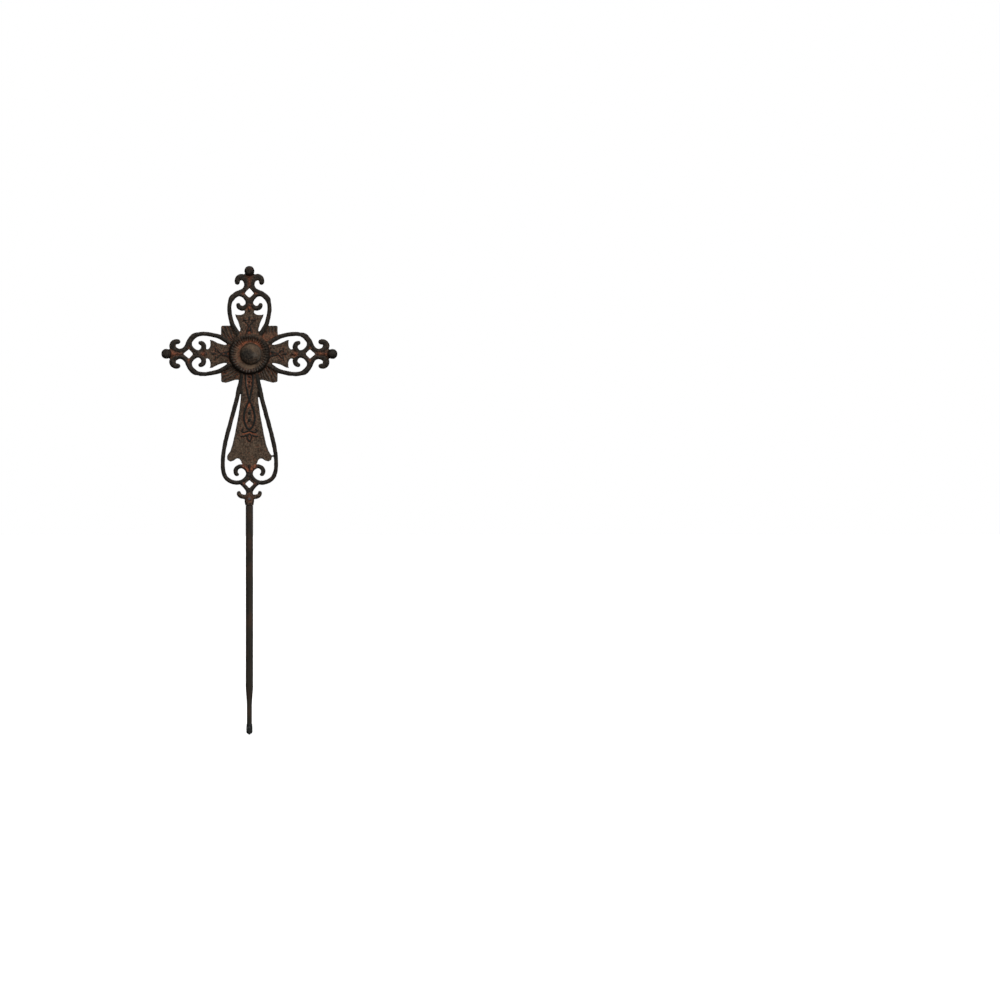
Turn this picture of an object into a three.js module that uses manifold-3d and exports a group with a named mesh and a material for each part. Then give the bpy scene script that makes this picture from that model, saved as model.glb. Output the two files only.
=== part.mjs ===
import * as THREE from 'three';
import { mergeVertices } from 'three/addons/utils/BufferGeometryUtils.js';
import Module from 'manifold-3d';

// An openwork cast iron grave cross on a thin steel stake.
// Millimetres, +Z up, the ornament faces -Y. The origin is on the stake's axis at the ground line.
// The head is drawn about the centre of its boss, and its mesh is raised to that height.

// Heights along the axis, from the ground line.
const buriedLength = 150; // ground line down to the end of the cap
const collarHeight = 148; // ground line up to the rim of the collar
const legLength = 197.2; // rim of the collar up to the centre of the boss
const armReach = 114.4; // centre of the boss out to the end of a ball

// Widths across the arms and the leg, over the bars.
const armWidth = 57.2;
const legWidth = 74.2;
const armPlateWidth = 36.6; // over the pointed ears at the end of an arm's plate
const armPlateRoot = 23.4; // where the plate leaves the boss
const legPlateWidth = 58; // over the lower corners of the leg's plate
const legPlateRoot = 21.5;

// The casting's depths. Its back is flat, and every front is measured from there.
const backPlane = 3; // behind the stake's axis
const barWidth = 5.2;
const barDepth = 6;
const plateDepth = 4.4;
const leafDepth = 3.4;
const webDepth = 3; // thin webs between the leg's plate and its bars
const joinDepth = 5.2; // iron that fills the corners between bars
const lineRise = 0.9; // raised lines and beads, above the plate that they stand on
const lineWidth = 2.4;
const strokeWidth = 1.5; // the shorter strokes of the flowers
const buried = 0.6; // how far a raised detail starts below the face that carries it
const lap = 1.5; // how far forms that meet run into each other
const flashThickness = 1.6;

// The boss: a ribbed ring around a fluted dish with a plain dome in it.
const bossDiameter = 54;
const ringWidth = 7;
const ringDepth = 11; // back of the casting to the ring's crest
const dishDepth = 7.6;
const ribCount = 40;
const ribRise = 0.55;
const domeDiameter = 28;
const domeDepth = 14.5;
const domeShift = 1.7; // the dome sits a little to the right of the ring's centre
const hollowWall = 4.2; // the back of the boss is hollow, with this wall

// The four leaves between the arms make up a square behind the boss.
const leafSpan = 73.2;
const veinWidth = 1.9;

const ballDiameter = 12.8;
const ballDepth = 13; // back of the casting to the front of a ball

// The collar and the blind socket that takes the rod.
const socketDepth = 11.5;
const collarWall = 1.8;
const rimWall = 0.75;
const collarCrown = 3.6; // solid iron above the socket
const screwHeight = 8.6; // rim of the collar up to the screw
const screwDiameter = 2.2;
const screwHeadDiameter = 3.4;
const screwHeadHeight = 1.1;

// The rod, its turned upper end and its drawn lower end.
const rodDiameter = 9.5;
const rodShoulder = 0.75;
const tipDiameter = 6.5;
const tipLength = 40; // end of the cap up to where the rod starts to widen
const taperLength = 21;

const capLength = 14;
const capWall = 0.65;
const capFloor = 2;
const capNubDiameter = 3;
const capNubHeight = 1.1;
const capGap = 0.2;
const gap = 0.3; // between pieces that touch
const edgeBreak = 0.5; // bevel on turned edges

const roundSides = 16; // facets around the collar, the rod and the cap

const bossHeight = collarHeight + legLength;
const barFront = backPlane - barDepth;
const ballRadius = ballDiameter / 2;
const spigotRadius = rodDiameter / 2 - rodShoulder;
const socketRadius = spigotRadius + gap;
const collarRadius = socketRadius + collarWall;
const rimRadius = socketRadius + rimWall;

const wasm = await Module();
wasm.setup();

// A closed mesh as a solid, with its shared corners merged and flattened triangles dropped.
function solid(geometry) {
  const bare = geometry.clone();
  bare.deleteAttribute('normal');
  bare.deleteAttribute('uv');
  const merged = mergeVertices(bare, 1e-4);
  const index = merged.index.array;
  const triVerts = [];
  for (let i = 0; i < index.length; i += 3) {
    const [a, b, c] = index.slice(i, i + 3);
    if (a !== b && b !== c && c !== a) triVerts.push(a, b, c);
  }
  const vertProperties = new Float32Array(merged.attributes.position.array);
  const mesh = new wasm.Mesh({ numProp: 3, vertProperties, triVerts: new Uint32Array(triVerts) });
  return new wasm.Manifold(mesh);
}

const join = (geometries) => geometries.map(solid).reduce((sum, each) => sum.add(each));

function geometryOf(body) {
  const { vertProperties, triVerts } = body.getMesh();
  const geometry = new THREE.BufferGeometry();
  geometry.setAttribute('position', new THREE.BufferAttribute(vertProperties, 3));
  geometry.setIndex(new THREE.BufferAttribute(triVerts, 1));
  geometry.computeVertexNormals();
  return geometry;
}

// Cross-sections of what runs along a curve, in shares of the half width and of the way from back to front.
const roundSection = [[-1, 0], [1, 0], [1, 0.5], [0.5, 1], [-0.5, 1], [-1, 0.5]];
const lineSection = [[-1, 0], [1, 0], [0.5, 1], [-0.5, 1]];

// A strand follows points of [x, z, half width], flat at the back and shaped in front by its section.
// Its steps are shorter where the points are closer, in the curls. A rounded tip ends it in a half circle.
function strand(points, back, front, { section = roundSection, steps = 20, tip = false } = {}) {
  const curve = new THREE.CatmullRomCurve3(points.map(([x, z, half]) => new THREE.Vector3(x, z, half)));
  const beforeEnd = (distance) => curve.getUtoTmapping(1 - distance / curve.getLength());
  const roundFrom = tip ? beforeEnd(points.at(-1)[2]) : 1;
  const rings = Array.from({ length: steps + 1 }, (_, i) => ({ t: (roundFrom * i) / steps, share: 1 }));
  if (tip) rings.push({ t: beforeEnd(0.4 * points.at(-1)[2]), share: 0.8 }, { t: 1, share: 0.25 });
  const position = [];
  for (const { t, share } of rings) {
    const centre = curve.getPoint(t);
    const along = curve.getTangent(t).setZ(0).normalize();
    const lift = 0.4 + 0.6 * share;
    for (const [side, rise] of section) {
      const out = side * centre.z * share;
      position.push(centre.x - along.y * out, back + (front - back) * rise * lift, centre.y + along.x * out);
    }
  }
  const n = section.length;
  const last = (rings.length - 1) * n;
  const index = [];
  for (let ring = 0; ring < last; ring += n) {
    for (let j = 0; j < n; j++) {
      const a = ring + j;
      const b = ring + ((j + 1) % n);
      index.push(a, b, b + n, a, b + n, a + n);
    }
  }
  for (let j = 1; j < n - 1; j++) index.push(0, j + 1, j, last, last + j, last + j + 1);
  const geometry = new THREE.BufferGeometry();
  geometry.setAttribute('position', new THREE.Float32BufferAttribute(position, 3));
  geometry.setIndex(index);
  return geometry;
}

// A flat outline in the plane of the cross, from the flat back forward by a depth.
// A hole in it is given in the same direction of turning as the outline.
function slab(points, depth, hole) {
  const flat = (rows) => rows.map(([x, z]) => new THREE.Vector2(x, z));
  const shape = new THREE.Shape(flat(points));
  if (hole) shape.holes.push(new THREE.Path(flat(hole).reverse()));
  const geometry = new THREE.ExtrudeGeometry(shape, { depth, bevelEnabled: false });
  return geometry.rotateX(Math.PI / 2).translate(0, backPlane, 0);
}

// A low cushion on a face at the given depth.
function bead(x, z, width, height, depth, rise = lineRise) {
  const geometry = new THREE.SphereGeometry(1, 6, 4).scale(width / 2, rise, height / 2);
  return geometry.translate(x, backPlane - depth, z);
}

// Turned forms: rows of [radius, height] about the Z axis.
function turned(profile, sides) {
  const points = profile.map(([radius, height]) => new THREE.Vector2(radius, height));
  return new THREE.LatheGeometry(points, sides).rotateX(Math.PI / 2);
}

// The same, about an axis that points to the front: rows of [radius, depth from the flat back].
function turnedFront(profile, sides) {
  return turned(profile, sides).rotateX(Math.PI / 2).translate(0, backPlane, 0);
}

const mirrored = (points) => points.map(([x, ...rest]) => [-x, ...rest]);
const bothSides = (points, make) => [make(points), make(mirrored(points))];
const symmetric = (half) => [...half, ...mirrored(half).reverse()];

// Points of an arm, given in hundredths of its reach and of its half width, and bar widths in hundredths.
const onArm = (rows) => rows.map(([along, across, width = 100]) => [
  (across * armWidth) / 200, (along * armReach) / 100, (width * barWidth) / 200,
]);

// Points of the leg in the same way, with the distance down from the boss first.
const onLeg = (rows) => rows.map(([down, across, width = 100]) => [
  (across * legWidth) / 200, (-down * legLength) / 100, (width * barWidth) / 200,
]);

// The bar that frames an arm: out from the boss, over the shoulder, back to the axis and out into a hook.
const armScroll = onArm([
  [16, 37, 110], [24.5, 56.5, 116], [32.5, 75.5, 110], [39.2, 84, 104], [48.3, 90.6, 100], [54.8, 91, 98],
  [60, 85.5, 98], [64.2, 72, 98], [67.2, 56, 96], [67.5, 41, 92], [66.3, 29, 92], [63, 15.5, 92], [59.6, 9.2, 90],
  [56.2, 10, 96], [53.1, 19.5, 112], [51.9, 32.5, 122], [53, 44.5, 118], [55.3, 50, 104], [57.9, 48, 88],
]);

// The strap from the shoulder through the neck, which ends as one of the two petals.
const armPetal = onArm([
  [57.5, 89.6, 94], [61.8, 86.6, 96], [64.4, 80.8, 98], [67, 68.6, 100], [69.2, 53.6, 106], [71.1, 33.6, 114],
  [73.6, 20.8, 116], [77.2, 13.8, 110], [80.6, 13.8, 112], [84.6, 19.5, 134], [87.2, 33, 160], [86.6, 47.5, 146],
  [83.4, 55, 132], [78.6, 54.4, 110],
]);

// The arm's plate, whose end has two pointed ears and a waisted neck up to the scrolls.
function armPlate() {
  const ear = armPlateWidth / 2;
  const root = armPlateRoot / 2;
  const at = (along, half) => [half, (along * armReach) / 100];
  const half = [
    at(0, root), at(29, root), at(36, root + 0.35 * (ear - root)), at(42, 0.96 * ear), at(45.4, ear),
    at(44.2, 0.92 * ear), at(44.2, 0.6 * ear), at(45, 0.45 * ear), at(46.3, 0.34 * ear), at(48, 0.31 * ear),
    at(50, 0.36 * ear), at(55, 0.24 * ear),
  ];
  return slab(symmetric(half), plateDepth);
}

// The two scrolls meet along the axis in one stem.
function armStem() {
  const points = onArm([[48, 0, 84], [53, 0, 96], [61, 0, 92], [64.2, 0, 22]]);
  return strand(points, backPlane, barFront, { steps: 3 });
}

// Between the petals the neck widens towards the ball.
function neck() {
  const points = onArm([[76, 0, 40], [78, 0, 90], [84, 0, 110], [87.6, 0, 235], [90, 0, 255]]);
  points.push([0, armReach - 1.4 * ballRadius, 0.75 * ballRadius]);
  return strand(points, backPlane, barFront, { steps: 5 });
}

function ball() {
  const geometry = new THREE.SphereGeometry(ballRadius, 12, 6).rotateX(Math.PI / 2);
  return geometry.translate(0, backPlane - ballDepth + ballRadius, armReach - ballRadius);
}

// Iron fills the corners where four bars meet, and leaves a sharp diamond between them.
const armDiamond = () => slab(
  symmetric(onArm([[61, 4], [68.8, 40], [77, 8]])),
  joinDepth,
  [...onArm([[63.5, 0], [68.8, 22.3], [75.2, 0]]), ...onArm([[68.8, -22.3]])],
);

// A raised line on a plate, along points of [x, z].
const line = (width, steps) => (points) => {
  const front = backPlane - plateDepth;
  const rows = points.map(([x, z]) => [x, z, width / 2]);
  return strand(rows, front + buried, front - lineRise, { section: lineSection, steps });
};

// Relief on an arm's plate: a pointed panel with a bead, then a small flower with a long bud.
function armRelief() {
  const at = (share, along) => [(share * armPlateRoot) / 2, (along * armReach) / 100];
  const round = 0.11 * armPlateRoot;
  return [
    ...bothSides([at(0.3, 22.5), at(0.02, 32.5)], line(lineWidth, 2)),
    ...bothSides([at(0.1, 33.3), at(0.45, 36.6)], line(strokeWidth, 1)),
    ...bothSides([at(0.27, 38.2), at(0.68, 38.9)], line(strokeWidth, 1)),
    bead(...at(0, 26.6), round, round, plateDepth),
    bead(...at(0, 40.2), round, 2.8 * round, plateDepth),
  ];
}

function arm() {
  return [
    ...bothSides(armScroll, (points) => strand(points, backPlane, barFront, { steps: 17, tip: true })),
    ...bothSides(armPetal, (points) => strand(points, backPlane, barFront, { steps: 11, tip: true })),
    armStem(),
    armDiamond(),
    neck(),
    ball(),
    armPlate(),
    ...armRelief(),
  ];
}

const legScroll = onLeg([
  [10, 22, 104], [18.6, 30.5, 106], [24.2, 38, 106], [29.5, 43.6, 104], [40, 58.6, 102], [53.2, 77.8, 100],
  [60, 86, 98], [66, 91.4, 96], [71.5, 93.4, 96], [75, 93, 98], [78.6, 89.8, 100], [81.8, 81.5, 102],
  [84, 66, 104], [84.9, 47, 104], [84.5, 29.6, 98], [83, 16.4, 98], [80.9, 7.4, 94], [78.6, 5.4, 90],
  [76.4, 9.6, 90], [74.7, 20, 94], [74.1, 31, 98], [75.2, 43.6, 100], [77.2, 48.4, 102], [78.8, 46.2, 106],
  [79.3, 42, 100], [78.7, 38.5, 84],
]);

// The two lower scrolls meet along the axis as well, above the lower diamond.
function legStem() {
  const points = onLeg([[73, 0, 90], [78, 0, 100], [81, 0, 92], [83.2, 0, 22]]);
  return strand(points, backPlane, barFront, { steps: 3 });
}

const legStrap = onLeg([
  [84.4, 36, 88], [85.8, 25, 90], [87.5, 16.5, 90], [89.2, 8.8, 92], [90.8, 5, 96], [93, 5, 96],
]);

const legHook = onLeg([[94.2, 6, 112], [94.3, 19.5, 110], [93.7, 30.5, 104], [92.4, 36.6, 100], [90.4, 36, 92]]);

const legDiamond = () => slab(
  symmetric(onLeg([[80.5, 3], [85.7, 30], [91, 3]])),
  joinDepth,
  [...onLeg([[83.1, 0], [85.7, 15.4], [88.6, 0]]), ...onLeg([[85.7, -15.4]])],
);

// Below the diamond the straps run together into the collar.
function legNeck() {
  const points = onLeg([[88.4, 0, 100], [90.4, 0, 150], [92.6, 0, 160], [96, 0, 200]]);
  return strand(points, backPlane, barFront, { steps: 3 });
}

function legPlate() {
  const corner = legPlateWidth / 2;
  const root = legPlateRoot / 2;
  const at = (down, half) => [half, (-down * legLength) / 100];
  const side = (share) => root + share * (corner - root);
  const half = [
    at(0, root), at(29.5, side(0.02)), at(40, side(0.17)), at(53.2, side(0.44)), at(60, side(0.61)),
    at(64, side(0.76)), at(66.8, side(0.96)), at(68, corner), at(69.8, side(0.97)), at(70.9, side(0.78)),
    at(70.3, 0.71 * corner), at(69.1, 0.6 * corner), at(68.8, 0.51 * corner), at(69.3, 0.43 * corner),
    at(70.6, 0.37 * corner), at(72.2, 0.34 * corner), at(74, 0.17 * corner), at(76.5, 0.08 * corner),
  ];
  return slab(symmetric(half), plateDepth);
}

// Thin webs fill the wedge between the plate and the bars below the boss, further down on the right.
// The corner that follows the bar lies 1.54 hundredths out for each hundredth down.
function legWebs() {
  const wedge = (end) => onLeg([[10, 10], [10, 22], [24.2, 38], [end, 1.54 * end], [end, 20]]);
  return [slab(wedge(28.5), webDepth), slab(mirrored(wedge(26.2)), webDepth)];
}

// A skin of iron left in the mould joint ties the plate's right corner to the bar.
function castingFlash() {
  const middle = -0.673 * legLength;
  const inner = 0.4 * legPlateWidth;
  const outer = 0.46 * legWidth;
  const [low, high] = [middle - flashThickness / 2, middle + flashThickness / 2];
  return slab([[inner, low], [outer, low], [outer, high], [inner, high]], webDepth);
}

// Relief on the leg's plate: two lines that cross and close in a pointed oval, beads,
// and a scroll with a hanging leaf.
function legRelief() {
  const at = (share, down) => [(share * legPlateRoot) / 2, (-down * legLength) / 100];
  const rows = (points) => points.map(([share, down]) => at(share, down));
  const round = 0.2 * legPlateRoot;
  const lace = rows([
    [-0.43, 12], [-0.42, 18], [-0.36, 21.8], [-0.22, 25.4], [0, 30.1], [0.4, 35], [0.62, 39.5], [0.65, 43],
    [0.56, 45.4], [0.34, 48.2], [0, 50],
  ]);
  const scroll = rows([[0.02, 50.7], [0.32, 51.1], [0.62, 51.8], [0.84, 51.3], [0.89, 50.2], [0.73, 49.5]]);
  const side = rows([[0.34, 53.4], [0.66, 54.4], [1.02, 54.3]]);
  const drop = rows([[0.02, 52.5], [0.26, 54.8], [0.15, 56.6], [0.02, 57.5]]);
  return [
    ...bothSides(lace, line(lineWidth, 11)),
    ...[15.2, 18.2, 21.2].map((down) => bead(...at(0, down), round, 0.5 * round, plateDepth)),
    ...[39.1, 43.6].map((down) => bead(...at(0, down), round, round, plateDepth)),
    ...bothSides(scroll, line(strokeWidth, 4)),
    ...bothSides(side, line(strokeWidth, 2)),
    ...bothSides(drop, line(strokeWidth, 2)),
  ];
}

// A leaf is a thin plate from the centre of the boss out to its edge, which runs from one arm's slot to the next.
const leaf = (edge) => slab([[0, 0], ...edge], leafDepth);

// Straight veins stand on a leaf and fan out from the boss.
function veins(signX, signZ) {
  const front = backPlane - leafDepth;
  const reach = leafSpan / 2;
  const near = bossDiameter / 2;
  return [35, 41.5, 48.5, 55].map((degrees) => {
    const angle = THREE.MathUtils.degToRad(degrees);
    const far = (0.93 * reach) / Math.max(Math.cos(angle), Math.sin(angle));
    const points = [0.9 * near, far].map((radius, i) => [
      signX * radius * Math.cos(angle), signZ * radius * Math.sin(angle), (veinWidth / 2) * (i ? 1 : 0.6),
    ]);
    return strand(points, front + buried, front - lineRise, { section: lineSection, steps: 1 });
  });
}

function leaves() {
  const reach = leafSpan / 2;
  const bar = onArm([[25.4, 40], [26.7, 60], [32.5, 76]]).map(([x, z]) => [x, z]);
  const sideways = bar.map(([x, z]) => [z, x]).reverse();
  const upper = [...bar, [bar[2][0], reach], [0.97 * reach, reach], [reach, 0.97 * reach], [reach, bar[2][0]],
    ...sideways];
  const wavy = [[0.24, -0.76], [0.37, -0.92], [0.5, -0.92], [0.66, -0.97], [0.84, -1.02], [0.97, -1], [1, -0.96]];
  const lower = [...wavy.map(([x, z]) => [x * reach, z * reach]), [reach, -bar[2][0]],
    ...sideways.map(([x, z]) => [x, -z])];
  return [
    leaf(upper), leaf(mirrored(upper)), leaf(lower), leaf(mirrored(lower)),
    ...veins(1, 1), ...veins(-1, 1), ...veins(1, -1), ...veins(-1, -1),
  ];
}

// The ring and the dish share their ribs: every second side of the turned form is pressed back.
function ribbedRing() {
  const outer = bossDiameter / 2;
  const crest = outer - ringWidth / 2;
  const inner = outer - ringWidth;
  const hub = domeDiameter / 2 - domeShift - lap;
  const geometry = turnedFront([
    [hub, 0], [outer, 0], [outer, 0.4 * ringDepth], [crest + 0.25 * ringWidth, 0.84 * ringDepth],
    [crest - 0.1 * ringWidth, ringDepth], [inner, 1.15 * dishDepth], [hub, dishDepth], [hub, 0],
  ], 2 * ribCount);
  const position = geometry.attributes.position;
  const step = Math.PI / ribCount;
  for (let i = 0; i < position.count; i++) {
    const side = Math.round(Math.atan2(position.getZ(i), position.getX(i)) / step);
    if (side % 2 && position.getY(i) < backPlane - dishDepth / 2) position.setY(i, position.getY(i) + 2 * ribRise);
  }
  return geometry;
}

function dome() {
  const radius = domeDiameter / 2;
  const profile = [[0, 0], [radius, 0]];
  for (let i = 0; i <= 4; i++) {
    const angle = (i / 4) * Math.PI / 2;
    profile.push([radius * Math.cos(angle), dishDepth + (domeDepth - dishDepth) * Math.sin(angle)]);
  }
  return turnedFront(profile, 18).translate(domeShift, 0, 0);
}

function bossHollow() {
  const radius = bossDiameter / 2 - ringWidth;
  const dish = dishDepth - hollowWall;
  const top = domeDepth - hollowWall;
  const mouth = domeDiameter / 2 - hollowWall;
  return turnedFront([[0, -lap], [radius, -lap], [radius, dish], [mouth, dish], [0.75 * mouth, 0.8 * top],
    [0, top], [0, -lap]], roundSides);
}

function collar() {
  const rim = -legLength;
  const roof = rim + socketDepth;
  return turned([[0, rim], [rimRadius, rim], [collarRadius, rim + 0.6 * screwHeight],
    [collarRadius, roof - 0.7 * collarCrown], [0.92 * collarRadius, roof + 0.1 * collarCrown],
    [0.6 * collarRadius, roof + 0.8 * collarCrown], [0, roof + collarCrown]], roundSides);
}

function socket() {
  const rim = -legLength;
  return turned([[0, rim - lap], [socketRadius, rim - lap], [socketRadius, rim + socketDepth],
    [0, rim + socketDepth], [0, rim - lap]], roundSides);
}

function screwHole() {
  const hole = turned([[0, 0], [screwDiameter / 2 + gap, 0], [screwDiameter / 2 + gap, 2 * collarRadius],
    [0, 2 * collarRadius], [0, 0]], 10);
  return hole.rotateX(Math.PI / 2).translate(0, 0, screwHeight - legLength);
}

const iron = new THREE.MeshStandardMaterial({ color: 0x4a3b31, roughness: 0.85, metalness: 0.4 });
const steel = new THREE.MeshStandardMaterial({ color: 0x2b2420, roughness: 0.6, metalness: 0.6 });
const rubber = new THREE.MeshStandardMaterial({ color: 0x15181c, roughness: 0.7, metalness: 0 });
const screwSteel = new THREE.MeshStandardMaterial({ color: 0x3c444c, roughness: 0.5, metalness: 0.7 });

function castCross() {
  const arms = [-Math.PI / 2, 0, Math.PI / 2].flatMap((angle) => arm().map((piece) => piece.rotateY(angle)));
  const leg = [
    ...bothSides(legScroll, (points) => strand(points, backPlane, barFront, { steps: 24, tip: true })),
    legStem(),
    ...bothSides(legStrap, (points) => strand(points, backPlane, barFront, { steps: 5 })),
    ...bothSides(legHook, (points) => strand(points, backPlane, barFront, { steps: 6, tip: true })),
    legDiamond(), legNeck(), legPlate(), ...legWebs(), castingFlash(), ...legRelief(), collar(),
  ];
  const whole = join([...arms, ...leg, ...leaves(), ribbedRing(), dome()]);
  const cut = whole.subtract(solid(bossHollow())).subtract(solid(socket())).subtract(solid(screwHole()));
  const mesh = new THREE.Mesh(geometryOf(cut), iron);
  mesh.name = 'cast_cross';
  mesh.position.z = bossHeight;
  return mesh;
}

function stakeRod() {
  const bottom = capFloor + capGap;
  const top = buriedLength + collarHeight;
  const tip = tipDiameter / 2;
  const body = rodDiameter / 2;
  const mesh = new THREE.Mesh(turned([
    [0, bottom], [tip, bottom], [tip, tipLength], [body, tipLength + taperLength], [body, top - gap],
    [spigotRadius, top - gap], [spigotRadius, top + socketDepth - gap], [0, top + socketDepth - gap],
  ], roundSides), steel);
  mesh.name = 'stake_rod';
  mesh.position.z = -buriedLength;
  return mesh;
}

function tipCap() {
  const bore = tipDiameter / 2 + capGap;
  const outer = bore + capWall;
  const nub = capNubDiameter / 2;
  const mesh = new THREE.Mesh(turned([
    [0, 0], [nub, 0], [nub, capNubHeight], [outer - edgeBreak, capNubHeight], [outer, capNubHeight + edgeBreak],
    [outer, capLength], [bore, capLength], [bore, capFloor], [0, capFloor],
  ], roundSides), rubber);
  mesh.name = 'tip_cap';
  mesh.position.z = -buriedLength;
  return mesh;
}

// The screw points to the back, and its end meets the rod in the socket.
function setScrew() {
  const head = screwHeadDiameter / 2;
  const shank = screwDiameter / 2;
  const seat = collarRadius + gap;
  const mesh = new THREE.Mesh(turned([
    [0, spigotRadius + gap], [shank, spigotRadius + gap], [shank, seat], [head, seat],
    [head, seat + 0.4 * screwHeadHeight], [0.7 * head, seat + 0.85 * screwHeadHeight], [0, seat + screwHeadHeight],
  ], 10), screwSteel);
  mesh.name = 'set_screw';
  mesh.rotation.x = Math.PI / 2;
  mesh.position.z = collarHeight + screwHeight;
  return mesh;
}

const cross = new THREE.Group();
cross.add(castCross(), stakeRod(), tipCap(), setScrew());

export default cross;
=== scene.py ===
import math

import bmesh
import bpy
import numpy as np
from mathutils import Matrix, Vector
from mathutils.kdtree import KDTree


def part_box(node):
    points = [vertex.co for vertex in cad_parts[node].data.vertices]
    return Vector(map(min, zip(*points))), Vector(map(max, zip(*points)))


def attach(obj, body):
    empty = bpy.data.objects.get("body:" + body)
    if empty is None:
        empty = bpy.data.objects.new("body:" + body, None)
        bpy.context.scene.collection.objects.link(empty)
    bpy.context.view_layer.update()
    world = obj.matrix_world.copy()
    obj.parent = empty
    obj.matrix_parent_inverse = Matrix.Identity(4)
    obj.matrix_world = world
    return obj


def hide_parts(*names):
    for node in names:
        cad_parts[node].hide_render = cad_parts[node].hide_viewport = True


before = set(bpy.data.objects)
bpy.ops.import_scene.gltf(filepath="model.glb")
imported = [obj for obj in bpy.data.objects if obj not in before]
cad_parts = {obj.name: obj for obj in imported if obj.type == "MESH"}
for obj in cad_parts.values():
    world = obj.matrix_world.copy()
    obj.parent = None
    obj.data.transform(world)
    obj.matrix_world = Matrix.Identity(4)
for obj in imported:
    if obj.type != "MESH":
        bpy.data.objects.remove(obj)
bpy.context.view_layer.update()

# The pieces are modelled in millimetres and scaled to metres when their meshes are made.
MM = 0.001
BOSS_HEIGHT = 345.2
LEG = 197.2
ARM = 114.4
LEG_ROOT = 10.75
ARM_ROOT = 11.7
DOME_X = 1.7
DOME_RADIUS = 14.0
TIP_Z = -150.0
COLLAR_Z = 148.0
ARM_HALF = 28.6
LEG_HALF = 37.1
BAR_HALF = 2.6
BACK = 3.0
BAR_FRONT = -3.0
PLATE_FRONT = -1.4
LEAF_FRONT = -0.4
JOIN_FRONT = -2.2
LINE_RISE = 0.9
LINE_HALF = 1.2
STROKE_HALF = 0.75
BALL_RADIUS = 6.4
BALL_FRONT = -10.0
RIBS = 40
# The collar's own part starts this far below the boss centre, and this far to each side of the axis it ends.
COLLAR_TOP = 183.2
COLLAR_SIDE = 6.2
# The skin's grain when the forms are joined, and the triangles that the finished casting may have.
VOXEL = 0.5
MOST_TRIANGLES = 190000
# The photo's scale in metres, its side, and the pixel column of the stake and row of the cap's end.
PIXEL = 1.3017 * MM
PHOTO_SIDE = 1000
PHOTO_STAKE = 249.4
PHOTO_END = 734.4

# The section of a bar: shares of its half width, and of the way from its flat back to its rounded front.
SECTION = [(-0.9, 0), (0.9, 0), (1, 0.1), (1, 0.42)] + [
    (math.cos(a), 0.42 + 0.58 * math.sin(a) ** 0.85) for a in np.linspace(0.25, math.pi - 0.25, 9)
] + [(-1, 0.42), (-1, 0.1)]


def smoothstep(low, high, value):
    t = np.clip((value - low) / (high - low), 0, 1)
    return t * t * (3 - 2 * t)


def lattice(ix, iy, iz, seed):
    """A value from -1 to 1 for each whole-numbered place, from its mixed bits."""
    n = ix * 374761393 + iy * 668265263 + iz * 1440662683 + seed * 974634777
    n = n & 0xFFFFFFFF
    n = ((n ^ (n >> 13)) * 1103515245) & 0xFFFFFFFF
    n = ((n ^ (n >> 15)) * 12345677) & 0xFFFFFFFF
    return ((n >> 8) & 0xFFFF) / 32767.5 - 1


def noise(points, size, seed, octaves=1):
    """Smooth value noise from -1 to 1, whose largest blots are about size millimetres across."""
    total = np.zeros(len(points))
    weight = 1.0
    norm = 0.0
    for octave in range(octaves):
        p = points / size * 2 ** octave + 31.7 * seed
        cell = np.floor(p)
        f = p - cell
        f = f * f * (3 - 2 * f)
        i = cell.astype(np.int64)
        value = np.zeros(len(points))
        for dx in (0, 1):
            for dy in (0, 1):
                for dz in (0, 1):
                    share = (
                        np.abs(1 - dx - f[:, 0]) * np.abs(1 - dy - f[:, 1]) * np.abs(1 - dz - f[:, 2])
                    )
                    value += share * lattice(i[:, 0] + dx, i[:, 1] + dy, i[:, 2] + dz, seed + octave)
        total += weight * value
        norm += weight
        weight *= 0.5
    return total / norm


def positions(mesh):
    co = np.zeros(len(mesh.vertices) * 3, np.float32)
    mesh.vertices.foreach_get("co", co)
    return co.reshape(-1, 3).astype(float) / MM


def set_positions(mesh, points):
    mesh.vertices.foreach_set("co", (points * MM).astype(np.float32).ravel())
    mesh.update()


def normals(mesh):
    out = np.zeros(len(mesh.vertices) * 3, np.float32)
    mesh.vertex_normals.foreach_get("vector", out)
    return out.reshape(-1, 3).astype(float)


def edges(mesh):
    out = np.zeros(len(mesh.edges) * 2, np.int32)
    mesh.edges.foreach_get("vertices", out)
    return out.reshape(-1, 2)


def relaxed(points, pairs, rounds, share=0.5):
    """Each round moves every point towards the middle of its neighbours."""
    a, b = pairs[:, 0], pairs[:, 1]
    count = np.bincount(a, minlength=len(points)) + np.bincount(b, minlength=len(points))
    count = np.maximum(count, 1)
    out = points.copy()
    for _ in range(rounds):
        for axis in range(out.shape[1]):
            column = out[:, axis]
            total = np.bincount(a, column[b], len(points)) + np.bincount(b, column[a], len(points))
            out[:, axis] = column + share * (total / count - column)
    return out


def set_values(mesh, name, values):
    layer = mesh.attributes.get(name) or mesh.attributes.new(name, "FLOAT", "POINT")
    layer.data.foreach_set("value", np.clip(values, 0, 1).astype(np.float32))


def made(obj):
    """The object's mesh with its modifiers applied, as a new mesh."""
    bpy.context.view_layer.update()
    graph = bpy.context.evaluated_depsgraph_get()
    return bpy.data.meshes.new_from_object(obj.evaluated_get(graph))


def scratch(mesh):
    obj = bpy.data.objects.new("scratch", mesh)
    bpy.context.scene.collection.objects.link(obj)
    return obj


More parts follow.
